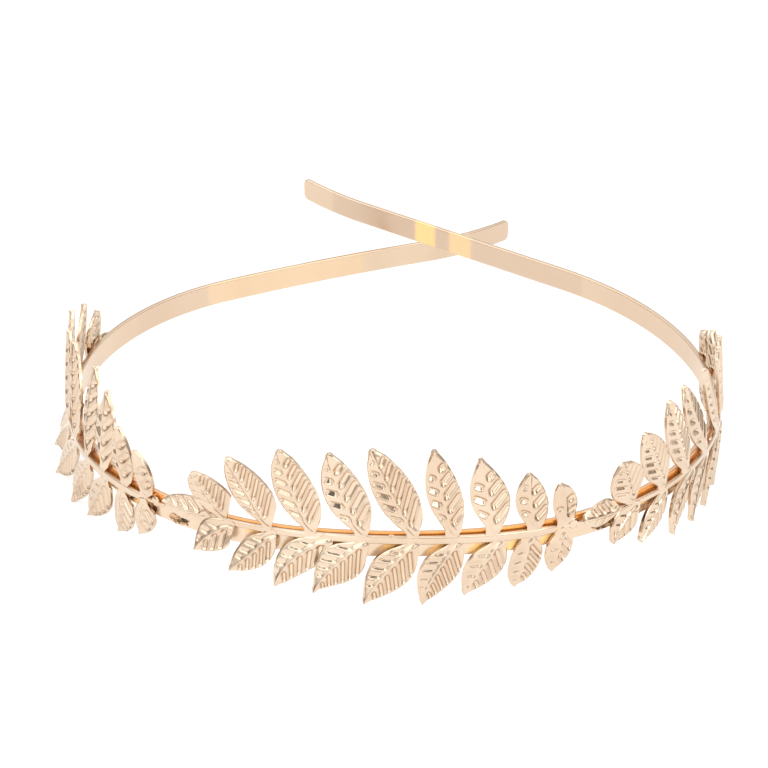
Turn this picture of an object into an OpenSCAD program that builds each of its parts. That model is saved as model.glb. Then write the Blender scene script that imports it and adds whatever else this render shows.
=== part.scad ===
// Leaf headband: a sprung metal strip bent into an open hoop whose ends cross
// at the back, with three stamped sprays of leaves soldered round its outside.
// All sizes are in millimetres and degrees. The wearer's face is towards -Y,
// +Z is up, and the headband stands on the tips of its lower leaves.

/* [Strip] */
// Height of the flat strip
strip_h = 3.8; // [3:0.1:5]
// Thickness of the flat strip
strip_t = 0.8; // [0.6:0.1:1]
// Radius of the rounded corners at the strip's two ends
end_r = 1; // [0.6:0.1:1.4]
// Height of the strip's middle above the surface that the leaf tips stand on
strip_z = 9.43; // [9:0.01:12]

/* [Hoop] */
// Radius of the gentle bend over the forehead
front_r = 79; // [70:1:110]
// Length of that bend to each side of the middle
front_run = 12; // [8:1:20]
// Radius of the tighter bend at each temple
side_r = 42.7; // [41:0.1:45]
// Length of the temple bend
side_run = 104; // [99:1:108]
// Radius of the nearly straight arm behind it
arm_r = 412; // [350:2:600]
// Length of the arm
arm_run = 38; // [34:1:44]
// Radius of the outward flare at each end
flare_r = 47; // [40:1:80]
// Length of the flare on the right end
right_flare_run = 13; // [8:1:20]
// Length of the flare on the left end
left_flare_run = 19; // [12:1:26]
// How far the right end climbs above the level of the front
right_end_rise = 7.1; // [6:0.1:9]
// How far the left end drops below the level of the front
left_end_drop = 2.6; // [2:0.1:4]
// Distance from the front of the strip back to the origin
front_to_origin = 53.1; // [50:0.1:56]
// How far the hoop's middle is set to the right, which centres the whole box
middle_x = 1; // [0.5:0.1:1.5]

/* [Leaf sprays] */
// Clear gap between the strip and the back of a spray
spray_gap = 0.3; // [0.25:0.05:0.6]
// Thickness of the stamped sheet
sheet_t = 0.4; // [0.35:0.05:0.6]
// Width of the raised stem
stem_w = 1.5; // [1.2:0.1:1.8]
// Height of the raised stem above its back
stem_h = 0.9; // [0.8:0.1:1.3]
// Length of stem before the first pair of leaves
stem_lead = 3; // [2:0.5:3.5]
// Height of the raised midrib over the blade of a leaf
midrib_h = 0.3; // [0.1:0.05:0.5]
// Height of the raised veins over the blade of a leaf
vein_h = 0.25; // [0.1:0.05:0.4]
// Distance along a leaf from one vein to the next
vein_pitch = 2.6; // [2:0.1:3.4]
// How far a vein runs forward for each millimetre that it runs outward
vein_slant = 0.8; // [0.4:0.1:1]
// Sideways bow of a leaf as a share of its length
leaf_bow = 0.02; // [0:0.01:0.08]

/* [Solder] */
// Diameter of a solder spot between a spray and the strip
solder_d = 1.6; // [1.2:0.1:2]
// Gap left between a solder spot and the strip
solder_gap = 0.1; // [0.05:0.05:0.2]

/* [Hidden] */

// Colour of the pale rose gold plating
gold = [0.93, 0.78, 0.63];
DEG = 180 / PI;

// Bends of each half of the hoop, from the front middle to its end
RADIUS = 0;
RUN = 1;
shared_bends = [[front_r, front_run], [side_r, side_run], [arm_r, arm_run]];
right_bends = concat(shared_bends, [[-flare_r, right_flare_run]]);
left_bends = concat(shared_bends, [[-flare_r, left_flare_run]]);
half_run = front_run + side_run + arm_run;
right_run = half_run + right_flare_run;
left_run = half_run + left_flare_run;
// The ends start to climb or drop half way round the temple bend
level_run = front_run + side_run / 2;

// Pairs of leaves along a spray, from its foot to its tip. Each upper and each
// lower leaf has AT, the distance of its foot along the stem, its length, its
// width, its angle to the stem, and TIP_ROUND, the power of its outline, which
// is lower for a rounder leaf.
UP = 0;
LOW = 5;
AT = 0;
LENGTH = 1;
WIDTH = 2;
ANGLE = 3;
TIP_ROUND = 4;
//    UP                            LOW
pairs = [
    [0.4,  7.6,  3.5, 80, 0.48,    0.5,  6.8,  4.0, 75, 0.63],
    [4.6,  9.5,  4.5, 83, 0.63,    5.3,  8.6,  4.4, 76, 0.45],
    [10.3, 12.0, 5.3, 81, 0.88,    9.1,  10.2, 5.2, 59, 0.81],
    [15.6, 13.3, 4.7, 78, 0.70,    14.7, 10.8, 5.1, 60, 0.81],
    [20.6, 14.7, 5.3, 65, 0.60,    20.4, 11.4, 5.4, 49, 0.88],
    [27.5, 13.7, 5.4, 69, 0.66,    26.9, 10.7, 5.7, 45, 1.06],
    [34.3, 14.0, 5.4, 71, 0.58,    31.6, 10.8, 4.7, 42, 0.63],
    [40.1, 12.5, 5.4, 63, 0.67,    39.4, 8.8,  4.3, 44, 0.72],
    [46.5, 8.9,  6.0, 65, 0.53,    45.2, 7.2,  4.7, 39, 0.75],
];
// The single leaf that ends the stem and lies along the strip
end_leaf = [48.8, 7.3, 3.9, 9, 0.6];
// How far the tip of that leaf lifts outward, over the foot of the next spray
end_leaf_lift = 0.6;
stem_run = end_leaf[AT] + 2;
stem_mid = stem_run / 2;

// Seats of the sprays: START is where the foot of the stem meets the hoop,
// counted from the front middle with the right side positive, HIGH is how far
// the stem's middle lies above the strip's middle, and TILT is its slope
// towards the tip. LEAN and FLARE are how far each upper and each lower leaf
// bends outward, from the foot of the spray to its tip.
START = 0;
HIGH = 1;
TILT = 2;
LEAN = 3;
FLARE = 4;
front_seat = [23.7, 1.3, 0.016,
    [9, 0, -6, -9, -7, -3, 3, 7, 20],
    [0, -4, -2, 8, 17, 17, 16, 20, 26]];
left_seat = [-36, -0.4, -0.04,
    [6, 0, -13, -16, -10, -6, -4, -5, -5],
    [-4, -4, 5, 8, 14, 17, 16, 15, 14]];
right_seat = [81.2, 0.3, 0.03,
    [-10, -7, -6, -6, -9, -13, -6, 1, 10],
    [1, -1, -4, -5, -3, 5, 6, 4, 7]];
// Height above the stem over which a leaf stays upright before it leans
lean_knee = 2.5;

// Distances from the strip's middle line out to each layer of a spray
strip_face = strip_t / 2;
spray_back = strip_face + spray_gap;
leaf_back = spray_back + 0.05;

// Half width of the neck that joins a leaf to its stem
neck_half = 1;
// Share of a leaf's length that the neck takes
neck_share = 0.1;
// A leaf is fuller on the side towards the foot of its spray: the shares of
// its width on that side and on the other, and how early each side is widest
FULL_SIDE = [0.57, 0.73];
SLIM_SIDE = [0.43, 0.91];
// Half width of a leaf at its very tip
tip_half = 0.12;
// Longest step between two sections of the strip
strip_step = 3.6;
// Distances from the strip's end to the sections of its rounded corners
corner_steps = [0, 0.15, 0.5, 1];
// Sides of the half round stem and of a solder spot
stem_sides = 5;
solder_sides = 10;
// Places of the solder spots along a stem
solder_at = [-1.2, 24, 47];
// Share of its full section that the stem has at its foot and at its tip
foot_size = 0.35;
tip_size = 0.55;

// A bend of radius r followed for a run from the place and heading in p
function bend(p, r, run) =
    let (heading = p[2] + run / r * DEG)
    [p[0] + r * (sin(heading) - sin(p[2])), p[1] - r * (cos(heading) - cos(p[2])), heading];

// The place and heading at a distance along a chain of bends
function follow(bends, run, i = 0, p = [0, 0, 0]) =
    run <= bends[i][RUN] || i == len(bends) - 1
        ? bend(p, bends[i][RADIUS], run)
        : follow(bends, run - bends[i][RUN], i + 1, bend(p, bends[i][RADIUS], bends[i][RUN]));

// Height of the strip's middle at a signed distance from the front middle
function strip_height(s) =
    let (past = max(0, abs(s) - level_run))
    strip_z + (s < 0 ? -left_end_drop * pow(past / (left_run - level_run), 2)
                     : right_end_rise * pow(past / (right_run - level_run), 2));

// The hoop's own axes at a signed distance from the front middle: its place,
// the way towards the tips of the sprays, and the way outward
PLACE = 0;
ONWARD = 1;
OUTWARD = 2;
function hoop(s) =
    let (
        side = s < 0 ? -1 : 1,
        p = follow(s < 0 ? left_bends : right_bends, abs(s)),
        h = p[2]
    )
    [
        [side * p[0] + middle_x, p[1] - front_to_origin, strip_height(s)],
        [-cos(h), -side * sin(h), 0],
        [side * sin(h), -cos(h), 0]
    ];

// A point set out from hoop axes by its steps onward, outward and up
function set_out(axes, onward, outward, up) =
    axes[PLACE] + axes[ONWARD] * onward + axes[OUTWARD] * outward + [0, 0, up];

// Faces of a closed tube of rings with the same number of corners each
function tube_faces(rings, corners) = concat(
    [[for (c = [corners - 1 : -1 : 0]) c]],
    [for (r = [0 : rings - 2]) for (c = [0 : corners - 1])
        let (a = r * corners + c, b = r * corners + (c + 1) % corners)
        each [[a, b, a + corners], [b, b + corners, a + corners]]],
    [[for (c = [0 : corners - 1]) (rings - 1) * corners + c]]
);

// Half the strip's height at a distance from its nearer end
function strip_half(from_end) =
    let (d = min(from_end, end_r))
    strip_h / 2 - end_r + sqrt(end_r * end_r - pow(end_r - d, 2));

// Distances along the hoop at which the strip has a section
strip_count = ceil((left_run + right_run - 2 * end_r) / strip_step);
strip_sections = concat(
    [for (d = corner_steps) -left_run + d],
    [for (i = [1 : strip_count - 1])
        -left_run + end_r + (left_run + right_run - 2 * end_r) * i / strip_count],
    [for (i = [len(corner_steps) - 1 : -1 : 0]) right_run - corner_steps[i]]
);

module band() {
    rings = [for (s = strip_sections)
        let (axes = hoop(s), half = strip_half(min(s + left_run, right_run - s)))
        for (corner = [[-1, -1], [1, -1], [1, 1], [-1, 1]])
            set_out(axes, 0, corner[0] * strip_face, corner[1] * half)];
    color(gold)
        polyhedron(rings, tube_faces(len(strip_sections), 4));
}

// Height of a spray's stem over the strip's middle at a distance along it
function stem_high(seat, at) = seat[HIGH] + seat[TILT] * (at - stem_mid);

// Half width of a leaf at a share g of its length, on its onward side where
// across is above 0 and on its full side elsewhere
function leaf_half(leaf, g, across) =
    let (
        side = across > 0 ? SLIM_SIDE : FULL_SIDE,
        blade = max(0, (g - neck_share) / (1 - neck_share))
    )
    max(g < 0.5 ? neck_half : tip_half,
        leaf[WIDTH] * side[0] * pow(sin(180 * pow(blade, side[1])), leaf[TIP_ROUND]));

// One leaf as a sheet of ridged cells that run out and forward from the
// midrib. way is 1 above the stem and -1 below it, lean is the angle that the
// leaf bends outward, and lift is how far its tip stands out.
module leaf(seat, leaf, way, lean, lift = 0) {
    axes = hoop(seat[START] - leaf[AT]);
    high = stem_high(seat, leaf[AT]);
    rows = 2 * max(3, round(leaf[LENGTH] / vein_pitch));
    function middle(g) = 4 * leaf_bow * leaf[LENGTH] * g * (1 - g);
    function on_leaf(row, across, thick) =
        let (
            g = row / rows,
            inside = row > 0 && row < rows,
            slant = inside ? abs(across) * vein_slant / leaf[LENGTH] : 0,
            edge = g + slant * leaf_half(leaf, g, across),
            along = leaf[LENGTH] * edge,
            over = middle(edge) + across * leaf_half(leaf, edge, across),
            onward = along * cos(leaf[ANGLE]) + over * sin(leaf[ANGLE]),
            away = along * sin(leaf[ANGLE]) - over * cos(leaf[ANGLE]),
            fold = inside ? (across == 0 ? midrib_h : vein_h * (row % 2)) : 0,
            bent = away > 0 ? tan(lean) * away * away / (away + lean_knee) : 0
        )
        set_out(axes, onward, leaf_back + bent + lift * edge + fold + thick, high + way * away);
    columns = way > 0 ? [1, 0, -1] : [-1, 0, 1];
    front = [for (row = [0 : rows]) for (c = columns) on_leaf(row, c, sheet_t)];
    back = [for (row = [0 : rows]) for (c = columns) on_leaf(row, c, 0)];
    color(gold)
        polyhedron(concat(front, back), sheet_faces(rows));
}

// Faces of a sheet three points wide whose back follows its front
function sheet_faces(rows) =
    let (n = 3 * (rows + 1))
    concat(
        [for (r = [0 : rows - 1])
            let (a = 3 * r)
            each [
                [a, a + 3, a + 4], [a, a + 4, a + 1],
                [a + 1, a + 4, a + 5], [a + 1, a + 5, a + 2],
                [n + a, n + a + 4, n + a + 3], [n + a, n + a + 1, n + a + 4],
                [n + a + 1, n + a + 5, n + a + 4], [n + a + 1, n + a + 2, n + a + 5],
                [a, n + a, n + a + 3], [a, n + a + 3, a + 3],
                [a + 2, a + 5, n + a + 5], [a + 2, n + a + 5, n + a + 2]
            ]],
        [[0, 1, n + 1], [0, n + 1, n], [1, 2, n + 2], [1, n + 2, n + 1]],
        let (a = 3 * rows)
        [[a, n + a, n + a + 1], [a, n + a + 1, a + 1],
         [a + 1, n + a + 1, n + a + 2], [a + 1, n + a + 2, a + 2]]
    );

// The raised half round stem, which narrows into the midrib of the end leaf
module stem(seat) {
    steps = ceil((stem_run + stem_lead) / 2.2);
    rings = [for (i = [0 : steps])
        let (
            at = -stem_lead + (stem_run + stem_lead) * i / steps,
            swell = min(1, (at + stem_lead) / stem_lead),
            size = foot_size + (1 - foot_size) * swell - (1 - tip_size) * pow(i / steps, 3),
            axes = hoop(seat[START] - at)
        )
        for (k = [0 : stem_sides])
            let (turn = 180 * k / stem_sides)
            set_out(axes, 0, spray_back + stem_h * size * sin(turn),
                stem_high(seat, at) + stem_w / 2 * size * cos(turn))];
    color(gold)
        polyhedron(rings, tube_faces(steps + 1, stem_sides + 1));
}

// A spot of solder from the back of the stem to just off the strip
module solder(seat, at) {
    axes = hoop(seat[START] - at);
    high = min(stem_high(seat, at), strip_h / 2 - solder_d / 2);
    rings = [for (outward = [strip_face + solder_gap, spray_back + stem_h / 3])
        for (k = [0 : solder_sides - 1])
            let (turn = 360 * k / solder_sides)
            set_out(axes, solder_d / 2 * cos(turn), outward, high + solder_d / 2 * sin(turn))];
    color(gold)
        polyhedron(rings, tube_faces(2, solder_sides));
}

// A whole stamping: the stem, nine pairs of leaves, the end leaf and the solder
module spray(seat) {
    union() {
        stem(seat);
        for (p = [0 : len(pairs) - 1]) {
            up = [for (i = [AT : TIP_ROUND]) pairs[p][UP + i]];
            low = [for (i = [AT : TIP_ROUND]) pairs[p][LOW + i]];
            leaf(seat, up, 1, seat[LEAN][p]);
            leaf(seat, low, -1, seat[FLARE][p]);
        }
        leaf(seat, end_leaf, 1, 0, end_leaf_lift);
        for (at = solder_at)
            solder(seat, at);
    }
}

module front_spray() {
    color(gold) spray(front_seat);
}

module left_spray() {
    color(gold) spray(left_seat);
}

module right_spray() {
    color(gold) spray(right_seat);
}

band();
front_spray();
left_spray();
right_spray();
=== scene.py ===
"""The looks of the leaf headband: its strip, its three leaf sprays and a soft studio.

Lengths in the tables are millimetres and angles are degrees, as in the part's source.
"""
import math
from collections import namedtuple

import bmesh
import bpy
from bpy.props import FloatProperty, FloatVectorProperty, IntProperty, PointerProperty
from mathutils import Matrix, Vector, noise


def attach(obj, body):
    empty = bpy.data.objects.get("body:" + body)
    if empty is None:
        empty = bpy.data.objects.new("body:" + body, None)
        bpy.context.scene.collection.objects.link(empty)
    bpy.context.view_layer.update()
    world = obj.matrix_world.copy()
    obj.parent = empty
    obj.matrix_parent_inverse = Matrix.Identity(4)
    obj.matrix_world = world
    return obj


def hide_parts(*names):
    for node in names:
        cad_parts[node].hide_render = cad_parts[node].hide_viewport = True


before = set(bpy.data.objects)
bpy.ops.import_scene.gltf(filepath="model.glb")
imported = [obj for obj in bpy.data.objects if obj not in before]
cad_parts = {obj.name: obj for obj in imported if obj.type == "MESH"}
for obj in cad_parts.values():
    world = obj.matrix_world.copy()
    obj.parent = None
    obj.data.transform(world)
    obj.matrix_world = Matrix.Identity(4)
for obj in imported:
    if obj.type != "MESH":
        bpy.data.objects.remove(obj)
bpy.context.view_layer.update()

bl_info = {
    "name": "Leaf headband",
    "version": (1, 0, 0),
    "blender": (4, 5, 0),
    "location": "3D View > Sidebar > Headband",
    "description": "Builds a rose gold headband of paired leaves and its studio",
    "category": "Add Mesh",
}

MM = 0.001

# The hoop, from the front middle to each end. A bend is a radius and a run.
FRONT_BEND = (79, 12)
TEMPLE_BEND = (42.7, 104)
ARM_BEND = (412, 38)
FLARE_RADIUS = 47
RIGHT_FLARE_RUN = 13
LEFT_FLARE_RUN = 19
HALF_RUN = FRONT_BEND[1] + TEMPLE_BEND[1] + ARM_BEND[1]
RIGHT_RUN = HALF_RUN + RIGHT_FLARE_RUN
LEFT_RUN = HALF_RUN + LEFT_FLARE_RUN
# Where the hoop's front middle stands. The strip is level for LEVEL_RUN, and then
# one end rises and the other drops.
MIDDLE_X = 1
FRONT_TO_ORIGIN = 53.1
STRIP_Z = 9.43
LEVEL_RUN = FRONT_BEND[1] + TEMPLE_BEND[1] / 2
RIGHT_END_RISE = 7.1
LEFT_END_DROP = 2.6
# Faces along and across the strip, how far its rows gather at the two ends, and
# the angle from which an edge is a rim that is rounded, with its segments
STRIP_ROWS = 900
STRIP_COLUMNS = 14
STRIP_GATHER = 0.6
RIM_ANGLE = 60
RIM_SEGMENTS = 3

# Backs of a spray's stem and leaves, measured outward from the strip's middle line
SPRAY_BACK = 0.7
LEAF_BACK = 0.75

# Leaves from the foot of a spray to its tip. AT is the distance along the
# stem, FULL and SLIM are the half widths towards the foot and the tip of the
# spray, ANGLE is to the stem, TIP_ROUND is lower for a rounder leaf, BOW bends
# the leaf sideways, CELLS counts the pressed cells on each side of the midrib
# and SLANT is how far they run forward for each millimetre outward.
Leaf = namedtuple("Leaf", "at length full slim angle tip_round bow cells slant")
UPPER = [
    Leaf(0.4, 7.6, 1.99, 1.51, 80, 0.48, -0.03, 3, 0.6),
    Leaf(4.6, 9.5, 2.59, 1.95, 83, 0.63, 0.03, 4, 0.8),
    Leaf(10.3, 12.0, 3.01, 2.32, 81, 0.88, 0.0, 5, 0.9),
    Leaf(15.6, 13.3, 2.66, 1.99, 78, 0.70, 0.02, 6, 0.9),
    Leaf(20.6, 14.7, 3.06, 2.28, 65, 0.60, 0.01, 7, 1.2),
    Leaf(27.5, 13.7, 3.09, 2.34, 69, 0.66, 0.03, 6, 0.9),
    Leaf(34.3, 14.0, 2.96, 2.40, 71, 0.58, 0.02, 7, 1.1),
    Leaf(40.1, 12.5, 3.04, 2.40, 63, 0.67, 0.00, 7, 1.2),
    Leaf(46.5, 8.9, 3.37, 2.61, 65, 0.53, 0.01, 5, 1.1),
]
LOWER = [
    Leaf(0.5, 6.8, 2.26, 1.72, 75, 0.63, -0.01, 3, 0.8),
    Leaf(5.3, 8.6, 2.51, 1.91, 76, 0.45, -0.03, 5, 0.9),
    Leaf(9.1, 10.2, 2.97, 2.20, 59, 0.81, 0.01, 5, 0.9),
    Leaf(14.7, 10.8, 2.93, 2.18, 60, 0.81, 0.05, 7, 0.9),
    Leaf(20.4, 11.4, 3.13, 2.24, 49, 0.88, 0.03, 7, 0.9),
    Leaf(26.9, 10.7, 3.25, 2.43, 45, 1.06, 0.05, 7, 1.0),
    Leaf(31.6, 10.8, 2.72, 2.03, 42, 0.63, 0.09, 6, 1.0),
    Leaf(39.4, 8.8, 2.45, 1.84, 44, 0.72, -0.01, 6, 1.0),
    Leaf(45.2, 7.2, 2.67, 2.01, 39, 0.75, 0.06, 4, 1.0),
]
END_LEAF = Leaf(48.8, 7.3, 2.2, 1.7, 9, 0.6, 0.02, 4, 1.0)
END_LEAF_LIFT = 0.6
LEAF_COLUMNS = 32
# The share of a leaf's rows that its cells take, and how far the rows gather at
# the tip and the columns at the edge and the midrib
CELL_ROWS = 0.8
ROWS_GATHER = 1.25
COLUMNS_GATHER = 0.35
# How far a leaf goes sideways for its bow
BOW_SCALE = 4 / 1.2
# Steps of halving that find where a slanting row reaches a share of the width
HALVINGS = 24

# The stem starts STEM_LEAD before the foot and lies STEM_DROP under its leaves'
# feet. It starts slender, swells over STEM_SWELL, tapers to its tip, and is
# rounded over a stretch at each end. STEM_SQUARE is lower for a flatter crest,
# and STEM_BACK is how much it bulges behind.
STEM_LEAD = 3
STEM_RUN = END_LEAF.at + 2
STEM_MIDDLE = STEM_RUN / 2
STEM_DROP = 0.14
STEM_SLENDER = 0.45
STEM_SWELL = (-1.0, 4.0)
STEM_TAPER = 0.45
STEM_ROUNDED = (0.4, 1.6)
STEM_SQUARE = 0.47
STEM_BACK = 0.08
STEM_ROWS = 200
STEM_COLUMNS = 20
STEM_GATHER = 0.7

# Where each spray sits: START is the foot of its stem along the hoop, HIGH and
# TILT place the stem over the strip's middle, and LEANS and FLARES bend each
# upper and lower leaf outward.
Seat = namedtuple("Seat", "node start high tilt leans flares")
SEATS = [
    Seat("front_spray", 23.7, 1.3, 0.016,
         [9, 0, -6, -9, -7, -3, 3, 7, 20],
         [0, -4, -2, 8, 17, 17, 16, 20, 26]),
    Seat("left_spray", -36, -0.4, -0.04,
         [6, 0, -13, -16, -10, -6, -4, -5, -5],
         [-4, -4, 5, 8, 14, 17, 16, 15, 14]),
    Seat("right_spray", 81.2, 0.3, 0.03,
         [-10, -7, -6, -6, -9, -13, -6, 1, 10],
         [1, -1, -4, -5, -3, 5, 6, 4, 7]),
]
LEAN_KNEE = 2.5

# Outline of a leaf: its share that is neck, the shares between which the neck
# fades, how early its full and its slim side are widest, the half widths of its
# neck, the fillet at its foot and the radius of its tip. A blunter leaf tapers
# more from TIP_FROM on.
NECK_SHARE = 0.1
NECK_FADES = (0.1, 0.45)
FULL_EARLY = 0.73
SLIM_EARLY = 0.91
FULL_NECK = 1.3
SLIM_NECK = 0.85
FLARE = 1.1
FLARE_RUN = 0.55
TIP_RADIUS = 0.36
TIP_TAPER = 0.6
TIP_FROM = 0.86

# Pressed cells on the full and the slim side of a leaf: their half width as a
# share of their pitch, and how far they stay from the middle of the midrib and
# from the leaf's edge
FULL_SHARE = 0.42
SLIM_SHARE = 0.34
MIDRIB_SIDE = 0.22
FULL_MARGIN = 0.0
SLIM_MARGIN = 0.22
# The share of a leaf's length where its cells start, and the share they take
CELLS_FROM = 0.09
CELLS_LONG = 0.89
# How much less the cells of the slim side slant, and how many cells they are
# shifted towards the tip
SLIM_SLANT = 0.75
SLIM_SHIFT = 0.5
# A cell on the slim side is a flat slope down to a wall at SLIM_DEEPEST of its
# half width. The slope falls by one of these shares of its run, on an upper and
# on a lower leaf.
SLIM_DEEPEST = 0.25
UPPER_STEEP = 0.62
LOWER_STEEP = 0.32
# The share of a full side's cell that is flat floor. A cell fades away where the
# room between its two round ends falls from the second to the first of these
# shares of its half width.
FULL_FLOOR = 0.25
CELL_FADES = (-0.9, -0.2)
# How wide the painted shade along the wall of a cell is, standing in for its
# shadow line, as a share of its half width, and how strong it is on the full and
# the slim side
WALL_WIDE = 0.35
FULL_TINT = 0.45
SLIM_TINT = 0.08

# Relief of a leaf: where it rises along the leaf, how much the midrib narrows and
# sinks towards the tip, how round its crest is, how far it hooks over near the
# foot, the blade's camber and where that rises, how far the rolled edge drops and
# how wide it is, and how far the whole blade stands up
RELIEF_RISES = (0.2, 1.4)
MIDRIB_NARROWS = 0.5
MIDRIB_SINKS = 0.4
MIDRIB_CREST = 1.5
MIDRIB_HOOK = 0.5
HOOK_RUN = 2.2
CAMBER = 0.2
CAMBER_RISES = (0.2, 4.0)
EDGE_DROP = 0.12
EDGE_WIDE = 0.2
BLADE_RISE = 0.06

# Solder spots: their places along a stem, how far out their middle lies, their
# half thickness, and how high and how close the lumps on them are
SOLDER_AT = (-1.2, 24, 47)
SOLDER_OUT = 0.75
SOLDER_THICK = 0.3
SOLDER_LUMPS = 0.12
SOLDER_WAVES = (9, 7)

# The browned solder on the strip below an end leaf: its place along each stem,
# how far out and how far below the strip's middle it lies, its half length, half
# width and half thickness, and how close and how high its crumbs are
BURNT_AT = {"front_spray": 54.7, "right_spray": 51.5}
BURNT_OUT = 0.52
BURNT_DOWN = 0.9
BURNT_SIZE = (1.15, 0.6, 0.2)
BURNT_CRUMBS = 4.3
BURNT_LUMPS = 1.1

# Painted reflection in the slit above a stem, orange of the light that bounces
# between the strip and the stem: the heights over the stem's middle line between
# which it comes up, and those between which it fades
SLIT_COMES = (-0.3, 0.2)
SLIT_FADES = (0.9, 1.7)

# Painted glow beside the slim edge of a lower leaf, standing in for light that
# bounces between the strip and the leaf: its place as a share of the leaf's length
# and a distance aside, its share of the leaf's slope, its half length and half
# width, and its share that isn't blurred
GLOW_SHARE = 0.3
GLOW_ASIDE = 0.3
GLOW_TURN = 0.6
GLOW_LONG = 1.9
GLOW_WIDE = 0.6
GLOW_CLEAR = 0.6

# Cross bands of painted reflection on the strip: where each starts and ends along
# the hoop, and how much painted glow and painted shade it has
Band = namedtuple("Band", "start end glow shade")
BANDS = [
    Band(160.4, 167, 0.0, 0.2),
    Band(144, 160.4, 0.0, 0.85),
    Band(140.3, 144, 0.75, 0.0),
    Band(137.5, 140.3, 0.0, 0.85),
    Band(133.4, 137.5, 0.4, 0.0),
    Band(112, 133.4, 0.0, 0.7),
    Band(75, 112, 0.0, 0.35),
    Band(-142, -112, 0.15, 0.0),
    Band(-112, -96, 0.0, 0.35),
    Band(-173, -163, 0.0, 0.6),
]
BAND_BLUR = 0.4

# Finishes: the roughness where the plating is glossiest and dullest, its patches
# in each metre along X, Y and Z, and the depth of its grain in metres
Finish = namedtuple("Finish", "gloss patches grain")
STRIP_FINISH = Finish((0.2, 0.3), (70, 70, 4), 0.00001)
LEAF_FINISH = Finish((0.12, 0.2), (160, 160, 160), 0.000012)
# Where in the noise a plating is deep and light, and its grains in each metre and
# their strength
PATCH_STOPS = (0.38, 0.6)
GRAIN_SCALE = 2600.0
GRAIN_STRENGTH = 0.35
# How metallic the painted reflections of the slits and the painted glow patches are
SLIT_METAL = 0.6
GLOW_METAL = 0.2
# Browned solder: its roughness, its crumbs in each metre, the depth of their
# bump, and where in the noise it is dark and pale, with the factor on its colour
BURNT_ROUGHNESS = 0.42
BURNT_SCALE = 1500.0
BURNT_BUMP = 0.0001
BURNT_STOPS = ((0.43, 0.3), (0.6, 1.6))

# The angle from which an edge is sharp, and the distance in metres within which
# points are one
SHARP_ANGLE = 48
WELD = 0.000004

# Brightness of the studio by the sine of the height over the horizon
Sky = namedtuple("Sky", "height bright")
ROOM = [
    Sky(0.0, 0.8),
    Sky(0.45, 0.86),
    Sky(0.72, 1.55),
    Sky(1.0, 1.7),
]
# Soft patches of the studio: the angles from their middle within which they are
# full and beyond which they have faded, and what they multiply the room's light by
Patch = namedtuple("Patch", "azimuth elevation full faded level")
PATCHES = [
    Patch(-1, 35, 8, 10, 0.0),
    Patch(18, 37, 3.5, 5.5, 0.0),
    Patch(27, 29, 16, 21, 2.2),
    Patch(46, 19, 8, 11, 2.0),
    Patch(-11, 19, 14, 16.5, 2.9),
    Patch(0, 6, 15, 45, 0.85),
    Patch(-62, 42, 20, 45, 1.5),
    Patch(66, 42, 18, 40, 1.35),
    Patch(-84, 6, 10, 28, 0.5),
    Patch(84, 6, 10, 26, 0.5),
]
# Tints of the studio where it is bright and where it is dark, and the level from
# which it is bright
BRIGHT_TINT = (1.0, 0.99, 0.975)
DARK_TINT = (1.0, 0.62, 0.38)
BRIGHT_FROM = 0.8
# The floor: its half width in metres, its roughness, the light that it gives off
# itself, as a lit table does, in front of the hoop and behind it, and the two
# places along Y in metres between which that fades
FLOOR_HALF = 3
FLOOR_ROUGHNESS = 0.9
FLOOR_GLOW = (0.52, 0.34)
FLOOR_FADE = (-0.06, 0.0)

# The camera: its sensor, lens and shift, its place in metres, and how far it looks
# down and rolls
SENSOR = 36
LENS = 101.4
SHIFT = (-0.0138, -0.0182)
CAMERA_AT = (0.001, -0.30005, 0.16667)
CAMERA_DOWN = 27.9
CAMERA_ROLL = 0.3151


def smooth(low, high, value):
    """Rises smoothly from 0 at low to 1 at high."""
    share = min(1.0, max(0.0, (value - low) / (high - low)))
    return share * share * (3 - 2 * share)


def bend(place, radius, run):
    """Place and heading after a bend is followed for a run."""
    x, y, heading = place
    turned = heading + run / radius
    return (x + radius * (math.sin(turned) - math.sin(heading)),
            y - radius * (math.cos(turned) - math.cos(heading)),
            turned)


def hoop(distance):
    """Place on the hoop at a signed distance, and the ways onward and outward."""
    side = -1 if distance < 0 else 1
    flare_run = LEFT_FLARE_RUN if side < 0 else RIGHT_FLARE_RUN
    whole_run = LEFT_RUN if side < 0 else RIGHT_RUN
    place = (0.0, 0.0, 0.0)
    left = abs(distance)
    for radius, run in (FRONT_BEND, TEMPLE_BEND, ARM_BEND, (-FLARE_RADIUS, flare_run)):
        last = radius < 0
        step = left if last else min(left, run)
        place = bend(place, radius, step)
        left -= step
        if left <= 0:
            break
    past = max(0.0, abs(distance) - LEVEL_RUN) / (whole_run - LEVEL_RUN)
    climb = -LEFT_END_DROP if side < 0 else RIGHT_END_RISE
    heading = place[2]
    return (
        Vector((side * place[0] + MIDDLE_X, place[1] - FRONT_TO_ORIGIN,
                STRIP_Z + climb * past * past)),
        Vector((-math.cos(heading), -side * math.sin(heading), 0)),
        Vector((side * math.sin(heading), -math.cos(heading), 0)),
    )


def set_out(axes, onward, outward, up):
    """A point in metres, set out from hoop axes in millimetres."""
    place, on, out = axes
    return (place + on * onward + out * outward + Vector((0, 0, up))) * MM


def stem_high(seat, at):
    """Height of a stem over the strip's middle at a distance along it."""
    return seat.high + seat.tilt * (at - STEM_MIDDLE)


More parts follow.
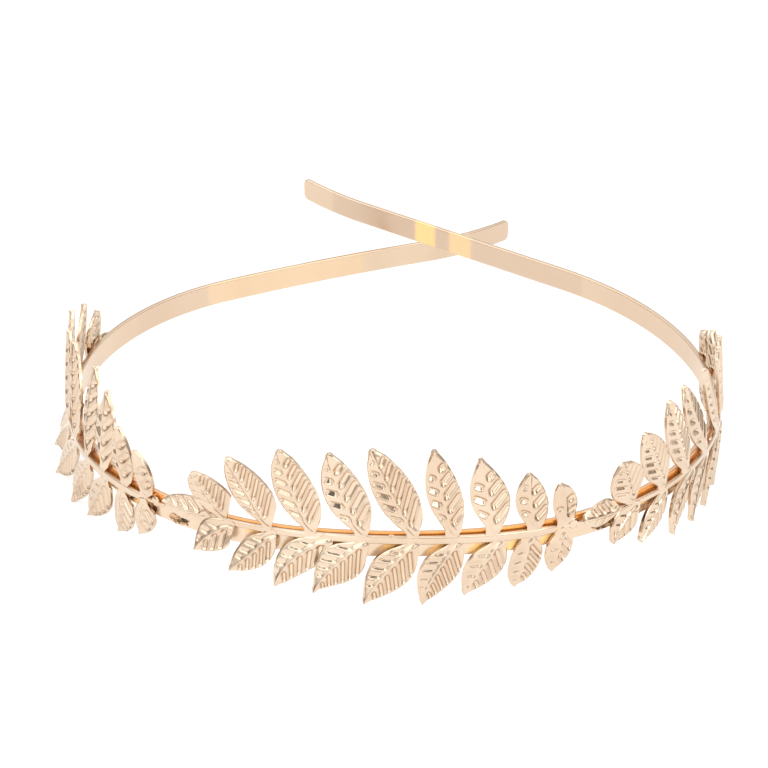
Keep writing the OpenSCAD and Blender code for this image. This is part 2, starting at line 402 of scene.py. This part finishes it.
class StripSizes(bpy.types.PropertyGroup):
    """Sizes of the flat strip."""

    height: FloatProperty(
        name="Height", description="Height of the flat strip",
        default=0.0038, min=0.003, max=0.005, unit="LENGTH")
    thickness: FloatProperty(
        name="Thickness", description="Thickness of the flat strip",
        default=0.0008, min=0.0006, max=0.001, unit="LENGTH")
    end_radius: FloatProperty(
        name="End radius", description="Radius of the rounded corners at the strip's ends",
        default=0.001, min=0.0006, max=0.0014, unit="LENGTH")
    edge_radius: FloatProperty(
        name="Edge radius", description="Radius of the strip's long edges",
        default=0.00018, min=0.00005, max=0.0003, unit="LENGTH")


class SpraySizes(bpy.types.PropertyGroup):
    """Sizes of the stamped leaf sprays."""

    sheet: FloatProperty(
        name="Sheet", description="Thickness of the stamped sheet",
        default=0.0004, min=0.00035, max=0.0006, unit="LENGTH")
    stem_width: FloatProperty(
        name="Stem width", description="Width of the raised stem",
        default=0.0013, min=0.001, max=0.0018, unit="LENGTH")
    stem_height: FloatProperty(
        name="Stem height", description="Height of the raised stem above its back",
        default=0.00058, min=0.0004, max=0.0013, unit="LENGTH")
    midrib_height: FloatProperty(
        name="Midrib height", description="Height of a midrib over the veins beside it",
        default=0.00028, min=0.0001, max=0.0005, unit="LENGTH")
    midrib_width: FloatProperty(
        name="Midrib width", description="Width of the raised midrib",
        default=0.0012, min=0.0006, max=0.0016, unit="LENGTH")
    cell_depth: FloatProperty(
        name="Cell depth", description="Depth of the pressed cells between the veins",
        default=0.00036, min=0.0001, max=0.0005, unit="LENGTH")
    solder_width: FloatProperty(
        name="Solder width", description="Width of a spot of solder",
        default=0.0016, min=0.0012, max=0.002, unit="LENGTH")
    rows_per_cell: IntProperty(
        name="Rows per cell", description="Rows of faces along each pressed cell",
        default=10, min=4, max=12)


class FinishColours(bpy.types.PropertyGroup):
    """Colours of the plating, of the shade and reflections painted on it, of the solder
    and of the floor.
    """

    leaf_light: FloatVectorProperty(
        name="Leaf plating", description="Bright rose gold of the leaves",
        default=(0.655, 0.526, 0.402), size=3, min=0, max=1, subtype="COLOR")
    leaf_deep: FloatVectorProperty(
        name="Deeper plating", description="Rose gold where the plating is thicker",
        default=(0.61, 0.472, 0.35), size=3, min=0, max=1, subtype="COLOR")
    strip_light: FloatVectorProperty(
        name="Strip plating", description="Satin rose gold of the strip",
        default=(0.685, 0.535, 0.4), size=3, min=0, max=1, subtype="COLOR")
    strip_deep: FloatVectorProperty(
        name="Strip bands", description="Faint darker cross bands of the strip",
        default=(0.65, 0.5, 0.37), size=3, min=0, max=1, subtype="COLOR")
    # Painted shade along the walls of the pressed cells, standing in for their shadow lines
    painted_wall_shade: FloatVectorProperty(
        name="Grooves", description="Darker plating along the walls of the pressed cells",
        default=(0.4, 0.26, 0.17), size=3, min=0, max=1, subtype="COLOR")
    # Painted reflection: orange of light bouncing between the strip and a stem, painted on
    # the strip above each stem
    slit: FloatVectorProperty(
        name="Slits", description="Deep orange plating of the strip above a stem",
        default=(0.85, 0.34, 0.07), size=3, min=0, max=1, subtype="COLOR")
    # Painted shade: darker reflections painted as cross bands on the strip
    shade: FloatVectorProperty(
        name="Shade", description="Greyer plating of the strip's cross bands",
        default=(0.58, 0.44, 0.33), size=3, min=0, max=1, subtype="COLOR")
    # Painted glow: yellow reflected light painted on the strip beside the lower leaves and in
    # some cross bands
    glow: FloatVectorProperty(
        name="Glow", description="Yellow plating of the strip beside the lower leaves",
        default=(1.0, 0.62, 0.22), size=3, min=0, max=1, subtype="COLOR")
    solder: FloatVectorProperty(
        name="Solder", description="Browned solder",
        default=(0.46, 0.3, 0.17), size=3, min=0, max=1, subtype="COLOR")
    floor: FloatVectorProperty(
        name="Floor", description="Pale floor of the studio",
        default=(0.62, 0.62, 0.62), size=3, min=0, max=1, subtype="COLOR")


def new_node(tree, kind, x, y, **settings):
    """A shader node with its settings made."""
    node = tree.nodes.new(kind)
    node.location = (x, y)
    for name, value in settings.items():
        setattr(node, name, value)
    return node


def opaque(colour):
    """A colour with full cover."""
    return (*colour, 1.0)


def new_material(name):
    """An empty material with its shader and its tree."""
    material = bpy.data.materials.new(name)
    material.use_nodes = True
    tree = material.node_tree
    shader = tree.nodes["Principled BSDF"]
    return material, tree, shader


def plating(name, light, deep, finish, marks):
    """Plated metal with patchy colour, uneven gloss and a fine orange peel. MARKS
    lists point attributes with the colour and the metal share they bring; they paint
    shade and reflections onto the plating."""
    material, tree, shader = new_material(name)
    place = new_node(tree, "ShaderNodeTexCoord", -1100, 0)
    stretch = new_node(tree, "ShaderNodeMapping", -900, 200)
    stretch.inputs["Scale"].default_value = finish.patches
    clouds = new_node(tree, "ShaderNodeTexNoise", -700, 200)
    clouds.inputs["Scale"].default_value = 1.0
    clouds.inputs["Detail"].default_value = 3.0
    tint = new_node(tree, "ShaderNodeValToRGB", -450, 250)
    for stop, position, colour in zip(tint.color_ramp.elements, PATCH_STOPS, (deep, light)):
        stop.position = position
        stop.color = opaque(colour)
    gloss = new_node(tree, "ShaderNodeMapRange", -450, 0)
    gloss.inputs["To Min"].default_value = finish.gloss[0]
    gloss.inputs["To Max"].default_value = finish.gloss[1]
    grain = new_node(tree, "ShaderNodeTexNoise", -700, -250)
    grain.inputs["Scale"].default_value = GRAIN_SCALE
    grain.inputs["Detail"].default_value = 2.0
    bump = new_node(tree, "ShaderNodeBump", -450, -250)
    bump.inputs["Strength"].default_value = GRAIN_STRENGTH
    bump.inputs["Distance"].default_value = finish.grain
    tree.links.new(place.outputs["Object"], stretch.inputs["Vector"])
    tree.links.new(stretch.outputs["Vector"], clouds.inputs["Vector"])
    tree.links.new(place.outputs["Object"], grain.inputs["Vector"])
    tree.links.new(clouds.outputs["Fac"], tint.inputs["Fac"])
    tree.links.new(clouds.outputs["Fac"], gloss.inputs["Value"])
    tree.links.new(grain.outputs["Fac"], bump.inputs["Height"])
    shader.inputs["Metallic"].default_value = 1.0
    colour = tint.outputs["Color"]
    share = None
    for mark, marked_colour, metal in marks:
        marked = new_node(tree, "ShaderNodeAttribute", -450, 450, attribute_name=mark)
        mix = new_node(tree, "ShaderNodeMix", -200, 300, data_type="RGBA")
        mix.inputs["B"].default_value = opaque(marked_colour)
        tree.links.new(marked.outputs["Fac"], mix.inputs["Factor"])
        tree.links.new(colour, mix.inputs["A"])
        colour = mix.outputs["Result"]
        if metal < 1:
            dull = new_node(tree, "ShaderNodeMapRange", -200, 500)
            dull.inputs["To Min"].default_value = 1.0
            dull.inputs["To Max"].default_value = metal
            tree.links.new(marked.outputs["Fac"], dull.inputs["Value"])
            if share:
                tree.links.new(share, dull.inputs["To Min"])
            share = dull.outputs["Result"]
            tree.links.new(share, shader.inputs["Metallic"])
    tree.links.new(colour, shader.inputs["Base Color"])
    tree.links.new(gloss.outputs["Result"], shader.inputs["Roughness"])
    tree.links.new(bump.outputs["Normal"], shader.inputs["Normal"])
    return material


def browned_solder(colour):
    """Rough solder, brown where the flux burnt."""
    material, tree, shader = new_material("browned_solder")
    shader.inputs["Metallic"].default_value = 1.0
    shader.inputs["Roughness"].default_value = BURNT_ROUGHNESS
    place = new_node(tree, "ShaderNodeTexCoord", -900, 0)
    clouds = new_node(tree, "ShaderNodeTexNoise", -700, 100)
    clouds.inputs["Scale"].default_value = BURNT_SCALE
    tint = new_node(tree, "ShaderNodeValToRGB", -450, 150)
    for stop, (position, factor) in zip(tint.color_ramp.elements, BURNT_STOPS):
        stop.position = position
        stop.color = opaque([factor * value for value in colour])
    bump = new_node(tree, "ShaderNodeBump", -450, -200)
    bump.inputs["Distance"].default_value = BURNT_BUMP
    tree.links.new(place.outputs["Object"], clouds.inputs["Vector"])
    tree.links.new(clouds.outputs["Fac"], tint.inputs["Fac"])
    tree.links.new(clouds.outputs["Fac"], bump.inputs["Height"])
    tree.links.new(tint.outputs["Color"], shader.inputs["Base Color"])
    tree.links.new(bump.outputs["Normal"], shader.inputs["Normal"])
    return material


def finished(bm, name, materials, node):
    """Turns a bmesh into a piece that stands for a node of the frame."""
    mesh = bpy.data.meshes.new(name)
    bm.to_mesh(mesh)
    bm.free()
    mesh.shade_smooth()
    mesh.set_sharp_from_angle(angle=math.radians(SHARP_ANGLE))
    piece = bpy.data.objects.new(name, mesh)
    for material in materials:
        mesh.materials.append(material)
    bpy.context.scene.collection.objects.link(piece)
    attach(piece, "root")
    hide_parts(node)


def spread(share, ends):
    """Moves an even share of 0 to 1 towards both ends of its range."""
    return share - ends * math.sin(2 * math.pi * share) / (2 * math.pi)


def painted_gap_light(distance, up):
    """How strongly the reflection in the slit above a stem is painted on the strip's
    outer face, and how much painted glow lies beside the lower leaves."""
    slit = glow = 0.0
    for seat in SEATS:
        at = seat.start - distance
        if at < -STEM_LEAD or at > STEM_RUN:
            continue
        high = stem_high(seat, at)
        over_stem = smooth(*SLIT_COMES, up - high)
        slit = max(slit, over_stem * (1 - smooth(*SLIT_FADES, up - high)))
        for leaf in LOWER:
            angle = math.radians(leaf.angle)
            far = GLOW_SHARE * leaf.length
            aside = leaf_half(leaf, GLOW_SHARE, False) + GLOW_ASIDE
            onward = at - leaf.at - far * math.cos(angle) - aside * math.sin(angle)
            below = high - up - far * math.sin(angle) + aside * math.cos(angle)
            turned = GLOW_TURN * angle
            along = onward * math.cos(turned) + below * math.sin(turned)
            across = onward * math.sin(turned) - below * math.cos(turned)
            apart = math.hypot(along / GLOW_LONG, across / GLOW_WIDE)
            glow = max(glow, 1 - smooth(GLOW_CLEAR, 1.0, apart))
    return slit, glow


def cross_bands(distance):
    """How much painted glow and painted shade, standing in for reflections, the strip
    has at a signed distance along the hoop.
    """
    glow = shade = 0.0
    for band in BANDS:
        inside = (smooth(-BAND_BLUR, BAND_BLUR, distance - band.start)
                  - smooth(-BAND_BLUR, BAND_BLUR, distance - band.end))
        glow += band.glow * inside
        shade += band.shade * inside
    return glow, shade


class HEADBAND_OT_strip(bpy.types.Operator):
    """Bends the flat strip into the open hoop"""

    bl_idname = "headband.strip"
    bl_label = "Strip"

    def execute(self, context):
        sizes = context.scene.headband_strip
        colours = context.scene.headband_colours
        end_radius = sizes.end_radius / MM
        half = sizes.height / MM / 2
        whole = LEFT_RUN + RIGHT_RUN
        bm = bmesh.new()
        slit = bm.verts.layers.float.new("slit")
        glow = bm.verts.layers.float.new("glow")
        shade = bm.verts.layers.float.new("shade")
        bmesh.ops.create_grid(bm, x_segments=STRIP_ROWS, y_segments=STRIP_COLUMNS, size=1)
        face = bmesh.ops.extrude_face_region(bm, geom=bm.faces[:])
        moved = [part for part in face["geom"] if isinstance(part, bmesh.types.BMVert)]
        bmesh.ops.translate(bm, verts=moved, vec=(0, 0, 1))
        for vert in bm.verts:
            from_left = whole * spread((vert.co.x + 1) / 2, STRIP_GATHER)
            near = min(from_left, whole - from_left, end_radius)
            reach = half - end_radius + math.sqrt(
                max(0.0, end_radius ** 2 - (end_radius - near) ** 2))
            distance = from_left - LEFT_RUN
            # The outer face takes the painted reflections of the slits and the painted glow
            # beside the lower leaves; the inner face takes the painted cross bands.
            if vert.co.z > 0.5:
                vert[slit], vert[glow] = painted_gap_light(distance, vert.co.y * reach)
            else:
                vert[glow], vert[shade] = cross_bands(distance)
            vert.co = set_out(hoop(distance), 0,
                              (vert.co.z - 0.5) * sizes.thickness / MM, vert.co.y * reach)
        bmesh.ops.recalc_face_normals(bm, faces=bm.faces[:])
        rim_angle = math.radians(RIM_ANGLE)
        rims = [edge for edge in bm.edges if edge.calc_face_angle(0.0) > rim_angle]
        bmesh.ops.bevel(bm, geom=rims, offset=sizes.edge_radius, segments=RIM_SEGMENTS,
                        profile=0.5, affect="EDGES", material=-1)
        # The shade, slit and glow marks paint shade and reflections onto the satin plating
        satin = plating("satin_rose_gold", colours.strip_light, colours.strip_deep,
                        STRIP_FINISH, [("shade", colours.shade, 1.0),
                                       ("slit", colours.slit, SLIT_METAL),
                                       ("glow", colours.glow, GLOW_METAL)])
        finished(bm, "rose_gold_strip", [satin], "band")
        return {"FINISHED"}


def leaf_half(leaf, share, full):
    """Half width of a leaf on its full or slim side at a share of its length."""
    widest, early, neck = ((leaf.full, FULL_EARLY, FULL_NECK) if full
                           else (leaf.slim, SLIM_EARLY, SLIM_NECK))
    blade = min(1.0, max(0.0, (share - NECK_SHARE) / (1 - NECK_SHARE)))
    blade_half = widest * max(0.0, math.sin(math.pi * blade ** early)) ** leaf.tip_round
    blunt = max(0.0, 1 - leaf.tip_round)
    blade_half *= 1 - TIP_TAPER * blunt * smooth(TIP_FROM, 1.0, share)
    neck_half = neck + FLARE * math.exp(-leaf.length * share / FLARE_RUN)
    neck_half *= 1 - smooth(*NECK_FADES, share)
    past = leaf.length * (share - 1) + TIP_RADIUS
    tip_half = math.sqrt(max(0.0, TIP_RADIUS ** 2 - past ** 2))
    return (blade_half ** 3 + neck_half ** 3 + tip_half ** 3) ** (1 / 3)


def along_row(leaf, start, across):
    """Distance along a leaf at which the row that leaves the midrib at start
    reaches a signed share of the half width."""
    slant = cell_slant(leaf, across < 0)
    low, high = start, leaf.length
    for _ in range(HALVINGS):
        middle = (low + high) / 2
        half = leaf_half(leaf, middle / leaf.length, across < 0)
        if middle - slant * abs(across) * half < start:
            low = middle
        else:
            high = middle
    return (low + high) / 2


def cell_slant(leaf, full):
    """How far the cells on a side of a leaf run forward for each millimetre outward."""
    return leaf.slant * (1.0 if full else SLIM_SLANT)


def cell_reach(leaf, full):
    """Half width of a leaf's side where each of its cells ends."""
    reach = []
    for cell in range(leaf.cells):
        middle = cell + 0.5 + (0.0 if full else SLIM_SHIFT)
        start = leaf.length * (CELLS_FROM + CELLS_LONG * middle / leaf.cells)
        end = along_row(leaf, start, -1 if full else 1)
        reach.append(leaf_half(leaf, end / leaf.length, full))
    return reach


def cell_press(leaf, reaches, steep, start, across, half, depth):
    """How deep a point lies in a pressed cell, in millimetres, and how strongly painted
    shade darkens the cell's wall there."""
    full = across < 0
    pitch = CELLS_LONG * leaf.length / leaf.cells
    beat = (start - CELLS_FROM * leaf.length) / pitch - (0.0 if full else SLIM_SHIFT)
    if not 0 < beat < leaf.cells:
        return 0.0, 0.0
    cell = math.floor(beat)
    slant = cell_slant(leaf, full)
    skew = math.sqrt(1 + slant * slant)
    radius = (FULL_SHARE if full else SLIM_SHARE) * pitch / skew
    off = (beat - cell - 0.5) * pitch
    inner = MIDRIB_SIDE * skew + radius
    outer = (reaches[full][cell] - (FULL_MARGIN if full else SLIM_MARGIN)) * skew - radius
    room = smooth(*CELL_FADES, (outer - inner) / radius)
    if outer < inner:
        inner = outer = (inner + outer) / 2
    beyond = abs(across) * half * skew + off * slant / skew
    past = max(inner - beyond, 0.0, beyond - outer)
    deepest = 0.0 if full else SLIM_DEEPEST
    turned = off / skew / radius - deepest
    turned /= 1 + deepest if turned < 0 else 1 - deepest
    apart = math.hypot(turned, past / radius)
    tint = FULL_TINT if full else SLIM_TINT
    wall = tint * max(0.0, 1 - abs(apart - 1.0) / WALL_WIDE)
    if full:
        return room * depth * (1 - smooth(FULL_FLOOR, 1.0, apart)), room * wall
    slope = steep * (1 + SLIM_DEEPEST) * radius
    return room * slope * max(0.0, 1 - apart), room * wall


def relief(leaf, sizes, reaches, steep, start, along, across, half):
    """Height of a leaf's pressed relief over its sheet in millimetres, and how
    strongly painted shade darkens a cell's wall there."""
    share = start / leaf.length
    over = abs(across) * half
    rise = smooth(*RELIEF_RISES, along)
    midrib = sizes.midrib_width / MM / 2 * (1 - MIDRIB_NARROWS * share)
    hook = -MIDRIB_HOOK * (1 - smooth(0.0, HOOK_RUN, start))
    beside = min(1.0, abs(across * half - hook) / midrib)
    crown = sizes.midrib_height / MM * (1 - MIDRIB_SINKS * share)
    crown *= math.cos(beside * math.pi / 2) ** MIDRIB_CREST
    press, wall = cell_press(leaf, reaches, steep, start, across, half,
                             sizes.cell_depth / MM)
    camber = CAMBER * (1 - across * across) * smooth(*CAMBER_RISES, along)
    edge = EDGE_DROP * (1 - smooth(0.0, EDGE_WIDE, half - over))
    return (crown - edge) * rise + camber + BLADE_RISE - press, wall


def leaf_shape(leaf, sizes, steep):
    """Rows of a leaf's points as distances along, over and out, by grid place."""
    rows = round(leaf.cells * sizes.rows_per_cell / CELL_ROWS)
    reaches = {full: cell_reach(leaf, full) for full in (True, False)}
    shape = {}
    for row in range(rows + 1):
        start = leaf.length * (1 - (1 - row / rows) ** ROWS_GATHER)
        for column in range(LEAF_COLUMNS + 1):
            even = 2 * column / LEAF_COLUMNS - 1
            across = math.copysign(spread(abs(even), COLUMNS_GATHER), even)
            along = along_row(leaf, start, across)
            half = leaf_half(leaf, along / leaf.length, across < 0)
            share = along / leaf.length
            bow = BOW_SCALE * leaf.bow * leaf.length * share * (1 - share * share)
            over = bow + across * half
            out, wall = relief(leaf, sizes, reaches, steep, start, along, across, half)
            shape[row, column] = (along, over, out, wall)
    return rows, shape


def add_leaf(bm, painted_wall_shade, seat, leaf, shaped, way, lean, lift, sheet):
    """Adds one stamped leaf as a closed sheet that bends away from the stem."""
    rows, shape = shaped
    axes = hoop(seat.start - leaf.at)
    high = stem_high(seat, leaf.at)
    angle = math.radians(leaf.angle)
    slope = math.tan(math.radians(lean))
    grid = bmesh.ops.create_grid(bm, x_segments=rows, y_segments=LEAF_COLUMNS, size=1)
    for vert in grid["verts"]:
        row = round((vert.co.x + 1) / 2 * rows)
        column = round((vert.co.y + 1) / 2 * LEAF_COLUMNS)
        along, over, out, vert[painted_wall_shade] = shape[row, column]
        onward = along * math.cos(angle) + over * math.sin(angle)
        away = along * math.sin(angle) - over * math.cos(angle)
        bent = slope * away * away / (away + LEAN_KNEE) if away > 0 else 0
        outward = LEAF_BACK + bent + lift * along / leaf.length + out
        vert.co = set_out(axes, onward, outward, high + way * away)
    faces = list({face for vert in grid["verts"] for face in vert.link_faces})
    front = bmesh.ops.extrude_face_region(bm, geom=faces)
    moved = [part for part in front["geom"] if isinstance(part, bmesh.types.BMVert)]
    bmesh.ops.translate(bm, verts=moved, vec=axes[2] * sheet)


def stem_size(at):
    """Share of its full section that a stem has at a distance along it."""
    share = (at + STEM_LEAD) / (STEM_RUN + STEM_LEAD)
    swell = STEM_SLENDER + (1 - STEM_SLENDER) * smooth(*STEM_SWELL, at)
    taper = 1 - STEM_TAPER * share ** 3
    ends = min(1.0, (at + STEM_LEAD) / STEM_ROUNDED[0])
    ends *= min(1.0, (STEM_RUN - at) / STEM_ROUNDED[1])
    return swell * taper * math.sqrt(max(0.0, ends))


def squared(value):
    """Pulls a sine towards 1, which makes a circle into a rounded square."""
    return math.copysign(abs(value) ** STEM_SQUARE, value)


def add_stem(bm, seat, sizes):
    """Adds the stem of a spray as a closed tube with a flattened crest."""
    grid = bmesh.ops.create_grid(bm, x_segments=STEM_ROWS, y_segments=STEM_COLUMNS, size=1)
    for vert in grid["verts"]:
        share = spread((vert.co.x + 1) / 2, STEM_GATHER)
        at = -STEM_LEAD + (STEM_RUN + STEM_LEAD) * share
        turn = math.pi * (vert.co.y + 1)
        size = stem_size(at)
        outward = squared(math.sin(turn)) * size * sizes.stem_height / MM
        if outward < 0:
            outward *= STEM_BACK
        up = squared(math.cos(turn)) * size * sizes.stem_width / MM / 2
        vert.co = set_out(hoop(seat.start - at), 0, SPRAY_BACK + outward,
                          stem_high(seat, at) - STEM_DROP + up)


def add_burnt_solder(bm, seat, at):
    """Adds a crumbly, browned run of solder on the strip's face."""
    axes = hoop(seat.start - at)
    lump = bmesh.ops.create_icosphere(bm, subdivisions=4, radius=1)
    for vert in lump["verts"]:
        crumb = noise.noise(vert.co * BURNT_CRUMBS)
        long, wide, thick = (size * (1 + BURNT_LUMPS * crumb) for size in BURNT_SIZE)
        vert.co = set_out(axes, vert.co.x * long, BURNT_OUT + vert.co.y * thick,
                          vert.co.z * wide - BURNT_DOWN)
    for face in {face for vert in lump["verts"] for face in vert.link_faces}:
        face.material_index = 1


def add_solder(bm, seat, at, half, strip_half):
    """Adds a bulging spot of solder behind a stem, no higher than the strip."""
    axes = hoop(seat.start - at)
    high = min(stem_high(seat, at), strip_half - half)
    spot = bmesh.ops.create_icosphere(bm, subdivisions=3, radius=1)
    for vert in spot["verts"]:
        lump = 1 + (SOLDER_LUMPS * math.sin(SOLDER_WAVES[0] * vert.co.x + at)
                    * math.cos(SOLDER_WAVES[1] * vert.co.z - at))
        vert.co = set_out(axes, vert.co.x * half * lump,
                          SOLDER_OUT + vert.co.y * SOLDER_THICK,
                          high + vert.co.z * half * lump)


class HEADBAND_OT_sprays(bpy.types.Operator):
    """Stamps the three sprays of paired leaves"""

    bl_idname = "headband.sprays"
    bl_label = "Leaf sprays"

    def execute(self, context):
        sizes = context.scene.headband_spray
        colours = context.scene.headband_colours
        strip_half = context.scene.headband_strip.height / MM / 2
        solder_half = sizes.solder_width / MM / 2
        # The leaves' plating takes painted shade along the walls of their pressed cells
        bright = plating("bright_rose_gold", colours.leaf_light, colours.leaf_deep,
                         LEAF_FINISH, [("painted_wall_shade", colours.painted_wall_shade, 1.0)])
        burnt = browned_solder(colours.solder)
        uppers = [leaf_shape(leaf, sizes, UPPER_STEEP) for leaf in UPPER]
        lowers = [leaf_shape(leaf, sizes, LOWER_STEEP) for leaf in LOWER]
        last = leaf_shape(END_LEAF, sizes, LOWER_STEEP)
        for seat in SEATS:
            bm = bmesh.new()
            painted_wall_shade = bm.verts.layers.float.new("painted_wall_shade")
            for leaf, shaped, lean in zip(UPPER, uppers, seat.leans):
                add_leaf(bm, painted_wall_shade, seat, leaf, shaped, 1, lean, 0, sizes.sheet)
            for leaf, shaped, lean in zip(LOWER, lowers, seat.flares):
                add_leaf(bm, painted_wall_shade, seat, leaf, shaped, -1, lean, 0, sizes.sheet)
            add_leaf(bm, painted_wall_shade, seat, END_LEAF, last, 1, 0, END_LEAF_LIFT, sizes.sheet)
            add_stem(bm, seat, sizes)
            for at in SOLDER_AT:
                add_solder(bm, seat, at, solder_half, strip_half)
            if seat.node in BURNT_AT:
                add_burnt_solder(bm, seat, BURNT_AT[seat.node])
            bmesh.ops.remove_doubles(bm, verts=bm.verts[:], dist=WELD)
            bmesh.ops.recalc_face_normals(bm, faces=bm.faces[:])
            name = seat.node.replace("_spray", "_leaf_spray")
            finished(bm, name, [bright, burnt], seat.node)
        return {"FINISHED"}


def toward(azimuth, elevation):
    """A direction, with azimuth 0 towards the front and 90 to the right."""
    turn = math.radians(azimuth)
    rise = math.radians(elevation)
    return (math.sin(turn) * math.cos(rise), -math.cos(turn) * math.cos(rise), math.sin(rise))


def studio_world():
    """Soft studio light: a pale room with dark and bright patches."""
    world = bpy.data.worlds.new("soft_studio")
    bpy.context.scene.world = world
    world.use_nodes = True
    tree = world.node_tree
    back = tree.nodes["Background"]
    place = new_node(tree, "ShaderNodeTexCoord", -1400, 0)
    split = new_node(tree, "ShaderNodeSeparateXYZ", -1200, 200)
    room = new_node(tree, "ShaderNodeValToRGB", -1000, 200)
    room.color_ramp.interpolation = "EASE"
    for _ in ROOM[2:]:
        room.color_ramp.elements.new(0.5)
    for stop, sky in zip(room.color_ramp.elements, ROOM):
        stop.position = sky.height
        stop.color = opaque((sky.bright, sky.bright, sky.bright))
    tree.links.new(place.outputs["Generated"], split.inputs["Vector"])
    tree.links.new(split.outputs["Z"], room.inputs["Fac"])
    level = room.outputs["Color"]
    for patch in PATCHES:
        facing = new_node(tree, "ShaderNodeVectorMath", -1000, -200, operation="DOT_PRODUCT")
        facing.inputs[1].default_value = toward(patch.azimuth, patch.elevation)
        fade = new_node(tree, "ShaderNodeMapRange", -800, -200,
                        interpolation_type="SMOOTHSTEP")
        fade.inputs["From Min"].default_value = math.cos(math.radians(patch.faded))
        fade.inputs["From Max"].default_value = math.cos(math.radians(patch.full))
        fade.inputs["To Min"].default_value = 1.0
        fade.inputs["To Max"].default_value = patch.level
        both = new_node(tree, "ShaderNodeMath", -600, 0, operation="MULTIPLY")
        tree.links.new(place.outputs["Generated"], facing.inputs[0])
        tree.links.new(facing.outputs["Value"], fade.inputs["Value"])
        tree.links.new(level, both.inputs[0])
        tree.links.new(fade.outputs["Result"], both.inputs[1])
        level = both.outputs["Value"]
    brightness = new_node(tree, "ShaderNodeMapRange", -400, 200)
    brightness.inputs["From Max"].default_value = BRIGHT_FROM
    tint = new_node(tree, "ShaderNodeMix", -200, 200, data_type="RGBA")
    tint.inputs["A"].default_value = opaque(DARK_TINT)
    tint.inputs["B"].default_value = opaque(BRIGHT_TINT)
    tree.links.new(level, brightness.inputs["Value"])
    tree.links.new(brightness.outputs["Result"], tint.inputs["Factor"])
    tree.links.new(tint.outputs["Result"], back.inputs["Color"])
    tree.links.new(level, back.inputs["Strength"])


def floor_paint(colour):
    """Matt paint that gives off a little light, less of it behind the hoop."""
    paint, tree, shader = new_material("pale_floor")
    shader.inputs["Base Color"].default_value = opaque(colour)
    shader.inputs["Roughness"].default_value = FLOOR_ROUGHNESS
    shader.inputs["Emission Color"].default_value = opaque((1.0, 1.0, 1.0))
    place = new_node(tree, "ShaderNodeTexCoord", -800, -200)
    split = new_node(tree, "ShaderNodeSeparateXYZ", -600, -200)
    fade = new_node(tree, "ShaderNodeMapRange", -400, -200, interpolation_type="SMOOTHSTEP")
    fade.inputs["From Min"].default_value = FLOOR_FADE[0]
    fade.inputs["From Max"].default_value = FLOOR_FADE[1]
    fade.inputs["To Min"].default_value = FLOOR_GLOW[0]
    fade.inputs["To Max"].default_value = FLOOR_GLOW[1]
    tree.links.new(place.outputs["Object"], split.inputs["Vector"])
    tree.links.new(split.outputs["Y"], fade.inputs["Value"])
    tree.links.new(fade.outputs["Result"], shader.inputs["Emission Strength"])
    return paint


def set_camera(scene):
    """Stands the camera where the photograph was taken from."""
    lens = bpy.data.cameras.new("camera")
    lens.sensor_width = SENSOR
    lens.lens = LENS
    lens.shift_x, lens.shift_y = SHIFT
    lens.clip_start = 0.01
    camera = bpy.data.objects.new("camera", lens)
    rise = Matrix.Rotation(math.radians(90 - CAMERA_DOWN), 4, "X")
    roll = Matrix.Rotation(math.radians(CAMERA_ROLL), 4, "Z")
    camera.matrix_world = Matrix.Translation(CAMERA_AT) @ rise @ roll
    scene.collection.objects.link(camera)
    scene.camera = camera


class HEADBAND_OT_stage(bpy.types.Operator):
    """Sets the pale floor, the soft light and the camera"""

    bl_idname = "headband.stage"
    bl_label = "Studio"

    def execute(self, context):
        scene = context.scene
        bm = bmesh.new()
        bmesh.ops.create_grid(bm, x_segments=2, y_segments=2, size=FLOOR_HALF)
        mesh = bpy.data.meshes.new("pale_floor")
        bm.to_mesh(mesh)
        bm.free()
        mesh.materials.append(floor_paint(scene.headband_colours.floor))
        floor = bpy.data.objects.new("pale_floor", mesh)
        scene.collection.objects.link(floor)
        studio_world()
        set_camera(scene)
        scene.view_settings.view_transform = "Standard"
        scene.cycles.max_bounces = 16
        scene.cycles.glossy_bounces = 16
        return {"FINISHED"}


class HEADBAND_PT_panel(bpy.types.Panel):
    """Lists the headband's pieces and their sizes"""

    bl_label = "Leaf headband"
    bl_idname = "HEADBAND_PT_panel"
    bl_space_type = "VIEW_3D"
    bl_region_type = "UI"
    bl_category = "Headband"

    def draw(self, context):
        layout = self.layout
        scene = context.scene
        for operator, sizes in (("headband.strip", scene.headband_strip),
                                ("headband.sprays", scene.headband_spray),
                                ("headband.stage", scene.headband_colours)):
            box = layout.box()
            box.operator(operator)
            for name in sizes.bl_rna.properties.keys():
                if name not in ("rna_type", "name"):
                    box.prop(sizes, name)


CLASSES = (
    StripSizes,
    SpraySizes,
    FinishColours,
    HEADBAND_OT_strip,
    HEADBAND_OT_sprays,
    HEADBAND_OT_stage,
    HEADBAND_PT_panel,
)


def register():
    """Registers the classes and hangs their sizes on the scene."""
    for one in CLASSES:
        bpy.utils.register_class(one)
    bpy.types.Scene.headband_strip = PointerProperty(type=StripSizes)
    bpy.types.Scene.headband_spray = PointerProperty(type=SpraySizes)
    bpy.types.Scene.headband_colours = PointerProperty(type=FinishColours)


def unregister():
    """Takes the sizes and the classes away again."""
    del bpy.types.Scene.headband_colours
    del bpy.types.Scene.headband_spray
    del bpy.types.Scene.headband_strip
    for one in reversed(CLASSES):
        bpy.utils.unregister_class(one)


def main():
    """Builds every piece."""
    register()
    bpy.ops.headband.strip()
    bpy.ops.headband.sprays()
    bpy.ops.headband.stage()


if __name__ == "__main__":
    main()
